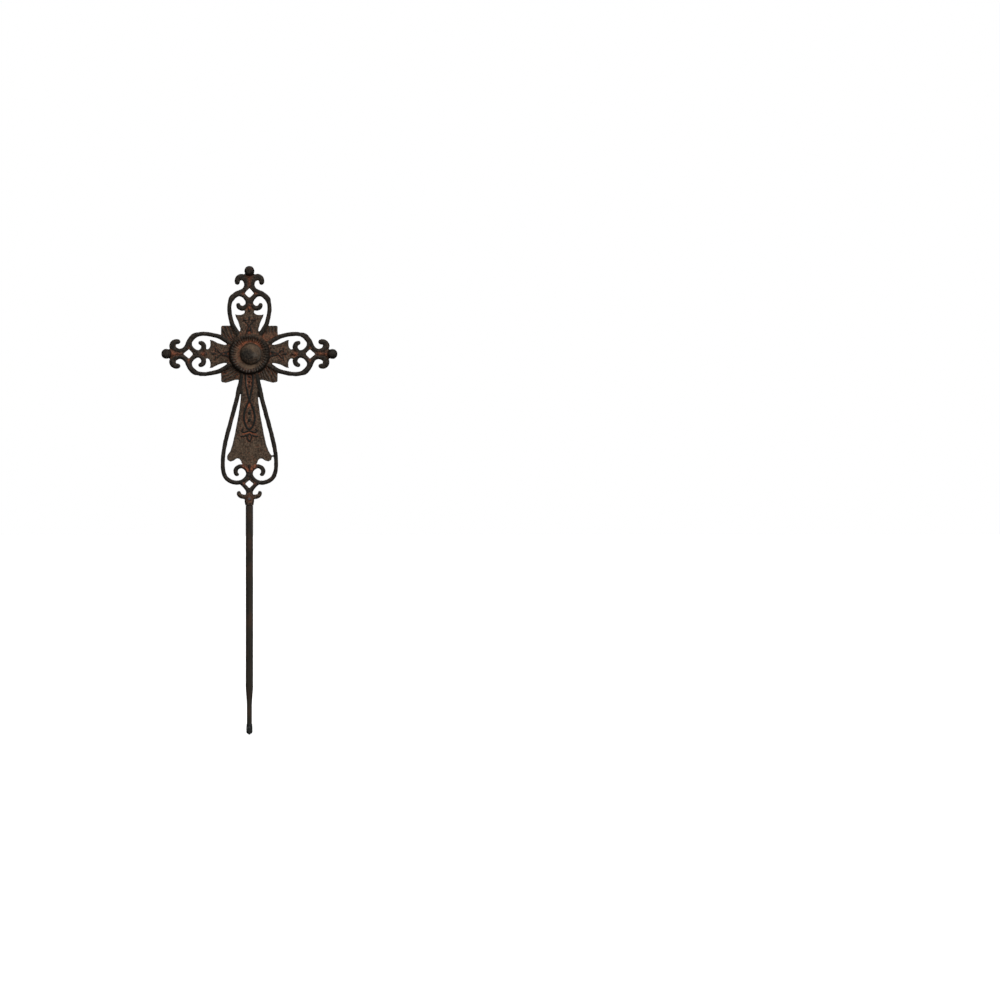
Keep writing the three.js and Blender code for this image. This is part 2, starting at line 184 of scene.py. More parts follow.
class Form:
    """Closed overlapping forms collected about the boss centre, which one remesh joins into one skin."""

    def __init__(self):
        self.points = []
        self.faces = []

    def add(self, points, faces):
        base = len(self.points)
        self.points += [tuple(p) for p in points]
        self.faces += [tuple(base + i for i in face) for face in faces]

    def loft(self, rings):
        """Rings of equal length joined in a row, with both ends closed."""
        n = len(rings[0])
        faces = [tuple(range(n))[::-1], tuple(range((len(rings) - 1) * n, len(rings) * n))]
        for row in range(len(rings) - 1):
            for j in range(n):
                a, b = row * n + j, row * n + (j + 1) % n
                faces.append((a, b, b + n, a + n))
        self.add(np.vstack(rings), faces)

    def strand(self, rows, back=BACK, front=BAR_FRONT, tip=False, pitch=0.7):
        """A bar with a flat back along rows of (x, h, half width), ended in a half circle by a tip."""
        path = spline(rows, 16)
        steps = np.hypot(*np.diff(path[:, :2], axis=0).T)
        length = np.concatenate([[0], np.cumsum(steps)])
        stations = np.linspace(0, length[-1], max(4, int(length[-1] / pitch)))
        if tip:
            width = path[-1, 2]
            last = length[-1] - width * (1 - np.cos(np.linspace(math.pi / 2, 0.1, 7)))[::-1]
            stations = np.concatenate([stations[stations < last.min() - 0.1], np.sort(last)])
        path = np.column_stack([np.interp(stations, length, path[:, k]) for k in range(3)])
        along = np.gradient(path[:, :2], axis=0)
        along /= np.linalg.norm(along, axis=1)[:, None]
        rings = []
        for (x, h, half), (ax, ah), at in zip(path, along, stations):
            share = 1.0
            if tip and length[-1] - at < half:
                share = max(0.12, math.sqrt(max(0, 1 - (1 - (length[-1] - at) / half) ** 2)))
            lift = 0.35 + 0.65 * share
            rings.append([
                (x - ah * u * half * share, back + (front - back) * v * lift, h + ax * u * half * share)
                for u, v in SECTION
            ])
        self.loft(rings)

    def slab(self, outline, front):
        """A flat plate with its outline in the plane of the cross."""
        n = len(outline)
        points = [(x, BACK, h) for x, h in outline] + [(x, front, h) for x, h in outline]
        faces = [tuple(range(n)), tuple(range(n, 2 * n))[::-1]]
        faces += [(j, j + n, (j + 1) % n + n, (j + 1) % n) for j in range(n)]
        self.add(points, faces)

    def web(self, outer, diamond):
        """Iron round a diamond-shaped hole on the axis, from the right halves of both outlines."""
        for side in (1, -1):
            rows = [(0, outer[0][1])] + outer + [(0, outer[-1][1])] + diamond[::-1]
            self.slab([(side * row[0], row[1]) for row in rows], JOIN_FRONT)

    def lines(self, paths):
        for path, half in paths:
            rows = [(x, h, half) for x, h in path]
            self.strand(rows, PLATE_FRONT + 0.6, PLATE_FRONT - LINE_RISE)

    def turned(self, profile, sides, x0=0.0):
        """A closed profile of (radius, depth from the flat back) about an axis to the front."""
        rings = []
        for a in np.linspace(0, 2 * math.pi, sides, endpoint=False):
            rings.append([(x0 + r * math.cos(a), BACK - d, r * math.sin(a)) for r, d in profile])
        n = len(profile)
        faces = []
        for row in range(sides):
            for j in range(n):
                a, b = row * n + j, row * n + (j + 1) % n
                c = ((row + 1) % sides) * n
                faces.append((a, c + j, c + (j + 1) % n, b))
        self.add(np.vstack(rings), faces)

    def ball(self, x, y, h, radius, scale=(1, 1, 1)):
        rings = []
        for i in range(1, 16):
            polar = math.pi * i / 16
            ring = []
            for j in range(24):
                a = 2 * math.pi * j / 24
                away = (math.sin(polar) * math.cos(a), math.sin(polar) * math.sin(a), math.cos(polar))
                ring.append([c + radius * s * d for c, s, d in zip((x, y, h), scale, away)])
            rings.append(ring)
        self.loft(rings)

    def mesh(self, voxel):
        raw = bpy.data.meshes.new("raw")
        points = [(x * MM, y * MM, (h + BOSS_HEIGHT) * MM) for x, y, h in self.points]
        raw.from_pydata(points, [], self.faces)
        obj = scratch(raw)
        modifier = obj.modifiers.new("remesh", "REMESH")
        modifier.mode = "VOXEL"
        modifier.voxel_size = voxel * MM
        out = made(obj)
        bpy.data.objects.remove(obj)
        return out


def thinned(mesh, share):
    """The same form with fewer triangles, most of them where it bends."""
    obj = scratch(mesh)
    modifier = obj.modifiers.new("thin", "DECIMATE")
    modifier.ratio = share
    out = made(obj)
    bpy.data.objects.remove(obj)
    return out


def spline(rows, count):
    """Points on a smooth curve through rows of (x, h)."""
    rows = np.array(rows, float)
    padded = np.vstack([2 * rows[0] - rows[1], rows, 2 * rows[-1] - rows[-2]])
    out = []
    for i in range(len(rows) - 1):
        p0, p1, p2, p3 = padded[i:i + 4]
        for t in np.linspace(0, 1, count, endpoint=False):
            out.append(0.5 * (
                2 * p1 + (p2 - p0) * t + (2 * p0 - 5 * p1 + 4 * p2 - p3) * t ** 2
                + (3 * p1 - p0 - 3 * p2 + p3) * t ** 3
            ))
    out.append(rows[-1])
    return np.array(out)


def distance_to(path, x, h):
    """How far each point of the casting's front lies from a path, in millimetres."""
    out = np.full(len(x), 99.0)
    low, high = path.min(0) - 6, path.max(0) + 6
    near = np.where((x > low[0]) & (x < high[0]) & (h > low[1]) & (h < high[1]))[0]
    if len(near):
        best = np.full(len(near), 99.0)
        for (ax, ah), (bx, bh) in zip(path[:-1], path[1:]):
            dx, dh = bx - ax, bh - ah
            t = np.clip(((x[near] - ax) * dx + (h[near] - ah) * dh) / max(dx * dx + dh * dh, 1e-9), 0, 1)
            best = np.minimum(best, np.hypot(x[near] - ax - t * dx, h[near] - ah - t * dh))
        out[near] = best
    return out


def arm_rows(rows):
    """Rows in hundredths of the reach, the half width and the bar's width, on the arm that points up."""
    return [
        (across * ARM_HALF / 100, along * ARM / 100, width * BAR_HALF / 100)
        for along, across, width in rows
    ]


def leg_rows(rows):
    """The same on the leg, with the distance down first."""
    return [
        (across * LEG_HALF / 100, -down * LEG / 100, width * BAR_HALF / 100)
        for down, across, width in rows
    ]


ARM_SCROLL = arm_rows([
    (16, 37, 110), (24.5, 56.5, 116), (32.5, 75.5, 110), (39.2, 84, 104), (48.3, 90.6, 100), (54.8, 91, 98),
    (60, 85.5, 98), (64.2, 72, 98), (67.2, 56, 96), (67.5, 41, 92), (66.3, 29, 92), (63, 15.5, 92),
    (59.6, 9.2, 90), (56.2, 10, 96), (53.1, 19.5, 112), (51.9, 32.5, 122), (53, 44.5, 118), (55.3, 50, 104),
    (57.9, 48, 88),
])
ARM_PETAL = arm_rows([
    (57.5, 89.6, 94), (61.8, 86.6, 96), (64.4, 80.8, 98), (67, 68.6, 100), (69.2, 53.6, 106),
    (71.1, 33.6, 114), (73.6, 20.8, 116), (77.2, 13.8, 110), (80.6, 13.8, 112), (84.6, 19.5, 134),
    (87.2, 33, 160), (86.6, 47.5, 146), (83.4, 55, 132), (78.6, 54.4, 110),
])
LEG_SCROLL = leg_rows([
    (10, 22, 104), (18.6, 30.5, 106), (24.2, 38, 106), (29.5, 43.6, 104), (40, 58.6, 102), (53.2, 77.8, 100),
    (60, 86, 98), (66, 91.4, 96), (71.5, 93.4, 96), (75, 93, 98), (78.6, 89.8, 100), (81.8, 81.5, 102),
    (84, 66, 104), (84.9, 47, 104), (84.5, 29.6, 98), (83, 16.4, 98), (80.9, 7.4, 94), (78.6, 5.4, 90),
    (76.4, 9.6, 90), (74.7, 20, 94), (74.1, 31, 98), (75.2, 43.6, 100), (77.2, 48.4, 102), (78.8, 46.2, 106),
    (79.3, 42, 100), (78.7, 38.5, 84),
])
LEG_STRAP = leg_rows([
    (84.4, 36, 88), (85.8, 25, 90), (87.5, 16.5, 90), (89.2, 8.8, 92), (90.8, 5, 96), (93, 5, 96),
])
LEG_HOOK = leg_rows([
    (94.2, 6, 112), (94.3, 19.5, 110), (93.7, 30.5, 104), (92.4, 36.6, 100), (90.4, 36, 92),
])
LEG_NECK = leg_rows([(88.4, 0, 100), (90.4, 0, 150), (92.6, 0, 160), (93.6, 0, 175)])
# The iron between crossing bars leaves a diamond: the right half of the web, then of the diamond.
ARM_DIAMOND = [
    arm_rows([(61, 4, 0), (68.8, 40, 0), (77, 8, 0)]),
    arm_rows([(63.5, 0, 0), (68.8, 22.3, 0), (75.2, 0, 0)]),
]
LEG_DIAMOND = [
    leg_rows([(80.5, 3, 0), (85.7, 30, 0), (91, 3, 0)]),
    leg_rows([(83.1, 0, 0), (85.7, 15.4, 0), (88.6, 0, 0)]),
]


def both(rows):
    return [rows, [(-row[0], *row[1:]) for row in rows]]


def whole(half):
    """A closed outline from its right half."""
    return half + [(-x, h) for x, h in reversed(half)]


def arc(radius, low, high, count):
    """Points at that radius from one angle to another, in degrees from the right."""
    return [(radius * math.cos(a), radius * math.sin(a)) for a in np.radians(np.linspace(low, high, count))]


def arm_outline():
    """The arm's flared plate, with its ears and the point between them."""
    ear, root = 18.3, ARM_ROOT

    def at(along, half):
        return half, along * ARM / 100

    return whole(arc(21.8, 90, 60, 4) + [
        (root, 20), at(29, root), at(36, root + 0.35 * (ear - root)), at(42, 0.96 * ear), at(45.4, ear),
        at(44.2, 0.92 * ear), at(44.2, 0.6 * ear), at(45, 0.45 * ear), at(46.3, 0.34 * ear),
        at(48, 0.31 * ear), at(50, 0.36 * ear), at(55, 0.24 * ear),
    ])


def leg_outline():
    """The leg's plate, which flares to its corners and ends in a point between the curls."""
    corner, root = 29.0, LEG_ROOT

    def at(down, half):
        return half, -down * LEG / 100

    def side(share):
        return root + share * (corner - root)

    return whole(arc(21.8, -90, -62, 4) + [
        (root, -20), at(29.5, side(0.02)), at(40, side(0.17)), at(53.2, side(0.44)), at(60, side(0.61)),
        at(64, side(0.76)), at(66.8, side(0.96)), at(68, corner), at(69.8, side(0.97)), at(70.9, side(0.78)),
        at(70.3, 0.71 * corner), at(69.1, 0.6 * corner), at(68.8, 0.51 * corner), at(69.3, 0.43 * corner),
        at(70.6, 0.37 * corner), at(72.2, 0.34 * corner), at(74, 0.17 * corner), at(76.5, 0.08 * corner),
    ])


def leaf_outlines():
    """The four corner leaves: square ones above, and ones with a wavy lower edge below."""
    reach = 36.6
    bar = [(x, h) for x, h, _ in arm_rows([(25.4, 40, 0), (26.7, 60, 0), (32.5, 76, 0)])]
    sideways = [(h, x) for x, h in reversed(bar)]
    upper = arc(22, 20, 70, 6) + bar + [
        (bar[2][0], reach), (0.97 * reach, reach), (reach, 0.97 * reach), (reach, bar[2][0]),
    ] + sideways
    wavy = [
        (0.24, -0.76), (0.37, -0.92), (0.5, -0.92), (0.66, -0.97), (0.84, -1.02), (0.97, -1), (1, -0.96),
    ]
    lower = arc(22, -20, -75, 6) + [(x * reach, h * reach) for x, h in wavy] + [(reach, -bar[2][0])]
    lower += [(x, -h) for x, h in sideways]
    return both(upper) + both(lower)


def on_leg(rows, side=1):
    """Rows of (share of the plate's half width at its root, hundredths of the leg's length down)."""
    return [(side * across * LEG_ROOT, -down * LEG / 100) for across, down in rows]


def leg_lines():
    """The raised lines of the leg's plate, each with its half width."""
    lace = [
        (-0.43, 12), (-0.42, 18), (-0.36, 21.8), (-0.22, 25.4), (0, 30.1), (0.4, 35), (0.62, 39.5),
        (0.65, 43), (0.56, 45.4), (0.34, 48.2), (0, 50),
    ]
    scroll = [(0.02, 50.7), (0.32, 51.1), (0.62, 51.8), (0.84, 51.3), (0.89, 50.2), (0.73, 49.5)]
    stroke = [(0.34, 53.4), (0.66, 54.4), (1.02, 54.3)]
    drop = [(0.02, 52.5), (0.24, 54.0), (0.26, 55.2), (0.15, 56.6), (0.02, 57.5)]
    paths = []
    for side in (1, -1):
        paths.append((on_leg(lace, side), LINE_HALF))
        paths += [(on_leg(rows, side), STROKE_HALF) for rows in (scroll, stroke, drop)]
    return paths


def arm_lines():
    """The same on the arm that points up. The other arms are turned onto it."""
    paths = []
    for side in (1, -1):
        panel = [(0.3, 22.5), (0.02, 32.5)]
        leaf = [(0.1, 33.3), (0.45, 36.6)]
        cross_leaf = [(0.27, 38.2), (0.68, 38.9)]
        for rows, half in ((panel, LINE_HALF), (leaf, STROKE_HALF), (cross_leaf, STROKE_HALF)):
            paths.append(([(side * across * ARM_ROOT, out * ARM / 100) for across, out in rows], half))
    return paths


# Beads on the leg and on an arm: (height, half width, half height), on the axis.
LEG_BEADS = [(-15.2 * LEG / 100, 2.1, 1.1), (-18.2 * LEG / 100, 2.1, 1.1), (-21.2 * LEG / 100, 2.0, 1.3)]
LEG_BEADS += [(-39.1 * LEG / 100, 2.1, 2.1), (-43.6 * LEG / 100, 2.1, 2.2)]
ARM_BEADS = [(26.6 * ARM / 100, 1.3, 1.3), (40.2 * ARM / 100, 1.4, 3.7)]


def arm_form():
    """The arm that points up, with its scrolls, petals, stem, ball and plate."""
    form = Form()
    for rows in both(ARM_SCROLL) + both(ARM_PETAL):
        form.strand(rows, tip=True)
    form.strand(arm_rows([(48, 0, 84), (53, 0, 96), (61, 0, 92), (64.2, 0, 22)]))
    neck = arm_rows([(76, 0, 40), (78, 0, 90), (84, 0, 110), (87.6, 0, 235), (90, 0, 255), (92.4, 0, 180)])
    form.strand(neck)
    form.ball(0, BALL_FRONT + BALL_RADIUS, ARM - BALL_RADIUS, BALL_RADIUS)
    form.web(*ARM_DIAMOND)
    form.slab(arm_outline(), PLATE_FRONT)
    form.lines(arm_lines())
    for h, wide, tall in ARM_BEADS:
        form.ball(0, PLATE_FRONT, h, 1, (wide, LINE_RISE, tall))
    return form


def turned_about(points, quarter):
    """The arm's points turned about the boss: 0 up, 1 to the right, -1 to the left."""
    if quarter == 0:
        return points
    return [(quarter * h, y, -quarter * x) for x, y, h in points]


def casting_form():
    form = Form()
    arm = arm_form()
    for quarter in (0, 1, -1):
        form.add(turned_about(arm.points, quarter), arm.faces)
    for rows in both(LEG_SCROLL) + both(LEG_HOOK):
        form.strand(rows, tip=True)
    for rows in both(LEG_STRAP):
        form.strand(rows)
    form.strand(leg_rows([(73, 0, 90), (78, 0, 100), (81, 0, 92), (83.2, 0, 22)]))
    form.strand(LEG_NECK)
    form.web(*LEG_DIAMOND)
    form.slab(leg_outline(), PLATE_FRONT)
    # Thin iron fills the wedge between the leg's plate and the root of each scroll bar.
    for side, end in ((1, 28.5), (-1, 26.2)):
        wedge = [(11.5, 12), (11.5, 24), (24.2, 38), (end, 1.54 * end), (end, 20)]
        form.slab([(side * across * LEG_HALF / 100, -down * LEG / 100) for down, across in wedge], 0.0)
    # A thin flash of iron was left across the gap on the right.
    low, high = -0.673 * LEG - 0.8, -0.673 * LEG + 0.8
    form.slab([(23.2, low), (34.1, low), (34.1, high), (23.2, high)], 0.0)
    form.lines(leg_lines())
    for h, wide, tall in LEG_BEADS:
        form.ball(0, PLATE_FRONT, h, 1, (wide, LINE_RISE, tall))
    for outline in leaf_outlines():
        form.slab([row[:2] for row in outline], LEAF_FRONT)
    # The boss is a shell: a ribbed ring round a dish, and a dome that is hollow behind.
    form.turned([
        (11.5, 3.4), (19.9, 3.4), (20, 0), (27, 0), (27, 4.2), (26.7, 5.4), (26, 7.2), (25.2, 9),
        (24.4, 10.2), (23.4, 10.9), (22.4, 10.9), (21.2, 10.3), (19.6, 9.4), (17.8, 8.5), (16.2, 7.8),
        (14.8, 7.6), (11.5, 7.6),
    ], 160)
    dome = [(9.7, 2.6), (13.7, 2.6)]
    dome += [(DOME_RADIUS * math.cos(a), 7.2 + 7.25 * math.sin(a)) for a in np.linspace(0, 1.5, 14)]
    dome += [(0.05, 14.45), (0.05, 10.3), (4.5, 9.8), (7.3, 8.2), (9.2, 5)]
    form.turned(dome, 64, x0=DOME_X)
    return form


def collar_from_frame(form):
    """The collar with its socket and screw hole comes from the solid, cut off below the hooks."""
    cut = bmesh.new()
    cut.from_mesh(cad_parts["cast_cross"].data)
    bmesh.ops.remove_doubles(cut, verts=cut.verts, dist=1e-7)
    top = (BOSS_HEIGHT - COLLAR_TOP) * MM
    side = COLLAR_SIDE * MM
    for place, away in (((0, 0, top), (0, 0, 1)), ((side, 0, 0), (1, 0, 0)), ((-side, 0, 0), (-1, 0, 0))):
        everything = cut.verts[:] + cut.edges[:] + cut.faces[:]
        made_cut = bmesh.ops.bisect_plane(
            cut, geom=everything, plane_co=place, plane_no=away, clear_outer=True,
        )
        rim = [e for e in made_cut["geom_cut"] if isinstance(e, bmesh.types.BMEdge)]
        bmesh.ops.holes_fill(cut, edges=rim, sides=0)
    cut.verts.index_update()
    points = [(v.co.x / MM, v.co.y / MM, v.co.z / MM - BOSS_HEIGHT) for v in cut.verts]
    form.add(points, [[v.index for v in face.verts] for face in cut.faces])
    cut.free()


def on_arms(x, h):
    """Each point turned onto the arm that points up, for the three arms: (across, out)."""
    left = x < -np.abs(h)
    right = x > np.abs(h)
    across = np.where(left, h, np.where(right, -h, x))
    out = np.where(left, -x, np.where(right, x, h))
    return across, out


def mapped_casting(points, facing):
    """The masks that both the relief and the colours use, by place on the casting's front."""
    x, y, h = points.T
    r = np.hypot(x, h)
    angle = np.arctan2(h, x)
    front = smoothstep(0.15, 0.7, -facing)
    across, out = on_arms(x, h)
    leaf = smoothstep(26, 28, r) * smoothstep(0.9, 0.6, np.abs(y - LEAF_FRONT))
    leaf *= (np.abs(x) > 15) * (np.abs(h) > 15)
    line = np.full(len(x), 99.0)
    for path, half in leg_lines():
        line = np.minimum(line, distance_to(spline(path, 6), x, h) - half)
    for path, half in arm_lines():
        line = np.minimum(line, distance_to(spline(path, 2), across, out) - half)
    bead = np.full(len(x), 99.0)
    for place, wide, tall in LEG_BEADS:
        bead = np.minimum(bead, np.hypot(x / wide, (h - place) / tall))
    for place, wide, tall in ARM_BEADS:
        bead = np.minimum(bead, np.hypot(across / wide, (out - place) / tall))
    ahead = smoothstep(1.6, 0.4, y)
    return {
        "x": x, "y": y, "h": h, "r": r, "angle": angle, "across": across, "out": out,
        "front": front, "ahead": ahead, "line": line, "bead": bead, "leaf": leaf,
    }


def casting_relief(m, points):
    """How far the front stands forward of the plain form, in millimetres."""
    r, angle, x, h = m["r"], m["angle"], m["x"], m["h"]
    # Slanting ribs run over the ring's crest and down into the dish, less far in at the bottom.
    sway = 0.35 * noise(points, 7, 41)
    inner = 15.3 + 1.7 * (1 - np.sin(angle))
    band = smoothstep(0, 2.2, r - inner) * (1 - smoothstep(25, 26.4, r))
    wave = np.cos(RIBS * angle + 0.16 * (r - 20) + sway)
    rise = (0.6 + 0.2 * sway) * band * wave
    # The leaves are fluted: three in a fan from the ring, and the upper right one upright with a plain foot.
    leaf = m["leaf"]
    flat = points * np.array([1, 0.2, 1])
    bend = 2.0 * noise(flat, 5.5, 43, 2)
    fan = np.cos(58 * angle + 0.5 * r + bend)
    upright = np.cos(2 * np.pi * (x + 0.08 * h) / 4.1 + 0.5 * bend) * smoothstep(25.5, 28.5, h)
    flute = leaf * np.where((x > 0) & (h > 0), upright, fan)
    rise += (0.62 + 0.3 * noise(flat, 4, 47)) * flute
    m["flute"] = flute
    m["rib"] = band * wave
    # A shallow groove runs along both sides of each raised line.
    rise -= 0.25 * np.exp(-((m["line"] - 0.7) / 0.5) ** 2) * (r > 27)
    return rise * m["front"]


def blot(a, b, wide, tall):
    """A soft oval, 1 in its middle, from two distances and its two half sizes."""
    return np.exp(-(a / wide) ** 2 - (b / tall) ** 2)


def rust_spots(m):
    """Orange rust sits where bars meet, under the balls and in the small figures' hollows."""
    across, out, x, h = m["across"], m["out"], m["x"], m["h"]
    side = np.abs(across)
    spots = 1.0 * blot(across, out - 0.527 * ARM, 2.0, 2.2)
    under_ball = 0.6 * blot(across, out - 0.82 * ARM, 1.2, 6.5)
    spots += under_ball + 0.7 * blot(across, out - 0.868 * ARM, 2.2, 2.2)
    spots += 0.3 * blot(side - 3.6, out - 0.89 * ARM, 2.2, 1.4)
    spots += 0.55 * blot(side - 7.6, out - 0.688 * ARM, 1.9, 1.6)
    spots += 0.8 * blot(across, out - 0.297 * ARM, 1.3, 1.6)
    spots += 0.85 * blot(across, out - 0.235 * ARM, 2.2, 1.6)
    path = spline([(11, -0.72 * LEG), (6.5, -0.745 * LEG), (2, -0.768 * LEG)], 4)
    spots += 0.8 * np.exp(-(distance_to(path, np.abs(x), h) / 1.7) ** 2)
    spots += 0.5 * blot(np.abs(x) - 7, h + 0.857 * LEG, 1.9, 1.5)
    spots += 0.5 * blot(x, h + 0.956 * LEG, 3.8, 4.2)
    path = spline([(0, -0.519 * LEG), (5, -0.526 * LEG), (9, -0.531 * LEG)], 4)
    spots += 0.9 * np.exp(-(distance_to(path, np.abs(x), h) / 0.9) ** 2)
    spots += 0.4 * blot(x, h + 0.545 * LEG, 1.0, 1.6)
    spots += 0.6 * blot(np.abs(x) - 2, h + 35, 1.8, 8.5) + 0.9 * blot(x, h + 65, 2.2, 3.2)
    return spots


def casting_layers(m, points, fine, broad):
    """The values that colour the casting, from its masks and how far each point stands out."""
    r, x, h = m["r"], m["x"], m["h"]
    blots = noise(points, 9, 11, 3)
    specks = noise(points, 2.2, 17, 2)
    down = -h / LEG * 100
    angle = m["angle"]
    line = m["line"]
    flute = m["flute"]
    rib = m["rib"]
    ahead = m["ahead"]
    dome = np.hypot(x - DOME_X, h)
    on_plate = r > 26.5

    # Rust gathers in hollows, between the raised lines, in the grooves of leaves and ring, and in spots.
    about = np.arctan2(h, x - DOME_X)
    upper = smoothstep(0.15, 0.8, np.sin(about))
    leftward = smoothstep(0.1, 0.8, -np.cos(about)) * smoothstep(-0.75, -0.2, np.sin(about))
    rightward = smoothstep(0.35, 0.85, np.cos(about))
    dish = smoothstep(13.2, 14.0, dome) * smoothstep(20.5, 18.5, r)
    above_dome = 1.4 * upper * np.exp(-((dome - 15.9) / 1.6) ** 2)
    spots = rust_spots(m) + (above_dome + 0.5 * leftward * np.exp(-((dome - 16) / 2.2) ** 2))
    hollow = smoothstep(0.0, 0.34, -broad) * (1 - 0.85 * dish)
    between = smoothstep(0.1, 0.8, line) * (1 - smoothstep(1.6, 3.4, line)) * on_plate
    inside = between * smoothstep(6.5, 4.5, np.abs(x)) * (down > 31) * (down < 50)
    above = 0.45 + 0.55 * (h > 0)
    grooves = smoothstep(0.1, 0.9, -flute) * (0.2 + 0.6 * smoothstep(38, 29, r))
    grooves *= smoothstep(-0.5, 0.3, blots) * above
    into_dish = 0.15 + 0.75 * np.maximum(upper, leftward)
    grooves += smoothstep(0.0, 0.9, -rib) * smoothstep(22, 18, r) * into_dish
    foot = m["leaf"] * (x > 0) * (h > 0) * smoothstep(30.5, 26, h)
    rust = 0.6 * hollow * smoothstep(-0.5, 0.4, blots) + spots * smoothstep(-1.1, 0.1, specks)
    plain = 0.15 * smoothstep(0.2, 0.8, blots)
    rust += (0.16 * between + 0.3 * inside) * smoothstep(-0.6, 0.5, specks) + plain
    rust += grooves * smoothstep(-0.6, 0.4, specks) + 0.25 * foot
    rust *= smoothstep(12.8, 13.8, dome)
    rust = rust * ahead + (1 - ahead) * (0.55 * hollow + 0.5 * smoothstep(0.1, 0.7, blots))

    # The dish's floor and the feet of the flutes are a smoother tan. The dish is less tan on its right side,
    # which is painted shade; the dome lighter towards its top and a light flank on the leg's lines are
    # painted light.
    tan_and_painted_light = dish * (0.9 - 0.6 * rightward) + 0.35 * foot
    # Painted light: the dome's upper part is lighter towards its top.
    tan_and_painted_light += smoothstep(14, 12.5, dome) * (0.4 + 0.3 * np.sin(about))
    tan_and_painted_light += 0.75 * m["leaf"] * smoothstep(0.1, 0.7, -flute) * smoothstep(-0.8, 0.2, specks)
    leg_plate = smoothstep(-108, -120, h) * smoothstep(0.6, 2.2, line) * (down < 74) * (np.abs(x) < 27)
    tan_and_painted_light += 0.25 * leg_plate
    # A painted highlight on the right flank of each of the leg's upper lines. It also keeps those lines from
    # going black there.
    leg_top = smoothstep(-45, -41, h) * (h < -20)
    flank_highlight = leg_top * (blot(x + 3.6, 0, 0.55, 1) + 0.4 * blot(x - 5.6, 0, 0.6, 1))
    tan_and_painted_light += flank_highlight
    tan_and_painted_light *= ahead

    # The raised lines and beads and the flutes' crests are near black, and the valleys beside the leg get
    # near-black painted shade.
    ink_and_valley_shade = (smoothstep(0.15, -0.35, line) * (1 - flank_highlight) + smoothstep(1.2, 0.8, m["bead"])) * on_plate
    ink_and_valley_shade *= np.where(h > -27, 0.65, 1) * ahead
    ink_and_valley_shade += (0.15 + 0.4 * (h > 0)) * smoothstep(0.35, 0.95, flute) * smoothstep(-0.9, 0.1, specks) * ahead
    # Painted shade in the valleys between the leg's plate and its bars.
    valley_shade = smoothstep(8.2, 9.2, -x) * smoothstep(12.6, 11.6, -x) * smoothstep(-58, -50, h)
    valley_shade += smoothstep(10, 11, x) * smoothstep(15.2, 13.6, x) * smoothstep(-64, -56, h)
    ink_and_valley_shade += 0.6 * valley_shade * smoothstep(-26, -34, h) * ahead

    # The bars, the ring's crest and the dome's two dark patches are dark and cold.
    raised = smoothstep(0.05, 0.3, broad)
    bar = smoothstep(-1.9, -2.6, m["y"]) * (r > 28) * (down < 92)
    bar *= 1 + 0.25 * smoothstep(-50, -80, h)
    # The dark band stops short at the ring's top, so its outer slope there stays lighter: painted light from
    # above.
    rim = 26.8 - 2.4 * smoothstep(0.3, 0.9, np.sin(angle))
    ring = smoothstep(20.3, 21.8, r) * smoothstep(rim, rim - 1, r)
    patches = 1.15 * smoothstep(11.5, 5.0, np.hypot(x + 3.6, h + 1.2))
    patches += 0.5 * smoothstep(9, 3, np.hypot(x - 6, h + 4))
    dark = 0.35 * raised + ink_and_valley_shade + 0.95 * bar + 0.75 * ring + patches + 0.5 * smoothstep(0.2, 0.9, flute)
    dark *= (0.82 + 0.3 * noise(points, 6, 23, 2)) * (0.4 + 0.6 * ahead)

    # Edges that hands and weather rubbed have a grey sheen. The same grey paints highlights right of the
    # dome's centre, on its right rim, on the lit flanks of the leg's lines and on the ring's crests at its
    # lower left. Painted shade darkens hollows and creases, blackest in the deepest places.
    wear_and_highlight = smoothstep(0.06, 0.22, fine) * smoothstep(-0.3, 0.5, specks)
    # A painted highlight right of the dome's centre, and painted light on the dome's right rim.
    wear_and_highlight += 0.55 * smoothstep(5.5, 1.5, np.hypot(x - 7.2, h + 1.6)) * smoothstep(-0.8, 0.6, specks)
    wear_and_highlight += 0.6 * smoothstep(11.2, 12.6, dome) * smoothstep(14.2, 13.6, dome) * rightward
    wear_and_highlight += 0.6 * flank_highlight
    # The ring's crests keep the grey only on their lower-left side, as a painted highlight where light falls.
    ring_lit_side = smoothstep(-0.4, 0.6, -np.cos(angle - 1.1) + 0.6 * noise(points, 5, 29, 2))
    wear_and_highlight *= 1 - ring * (1 - ring_lit_side)
    painted_shade = smoothstep(0.1, 0.7, -broad) * (1 - 0.6 * dish) + 0.6 * smoothstep(0.02, 0.14, -fine)
    # Painted shade on the ring's grooves and its upper right, on the dish's right side and on the ring's
    # outer wall at its lower left.
    painted_shade += (1.1 * smoothstep(0.1, 0.8, -rib) + 0.3 * (1 - ring_lit_side)) * ring * ahead
    painted_shade += 0.7 * dish * rightward
    lower_left = smoothstep(-0.2, 0.6, -np.cos(angle - 0.7))
    painted_shade += 0.8 * smoothstep(24.6, 25.6, r) * smoothstep(28.2, 27.2, r) * lower_left
    painted_shade *= 1 - 0.7 * np.minimum(spots, 1)
    return {"rust": rust, "dark": dark, "wear_and_highlight": wear_and_highlight, "painted_shade": painted_shade, "tan_and_painted_light": tan_and_painted_light, "ink_and_valley_shade": ink_and_valley_shade}


def facing_for_side_shade(m, normal, pairs):
    """How squarely the skin faces front or back. What turns away is darkened as painted shade, except at the
    foot of the ring's top, which stays light as if lit from above.
    """
    facing = relaxed(np.abs(normal[:, 1:2]), pairs, 5)[:, 0]
    lit_top_foot = smoothstep(23.6, 24.8, m["r"]) * smoothstep(28.5, 27.5, m["r"])
    lit_top_foot *= smoothstep(0.2, 0.8, np.sin(m["angle"]))
    return np.maximum(facing, 0.8 * lit_top_foot)


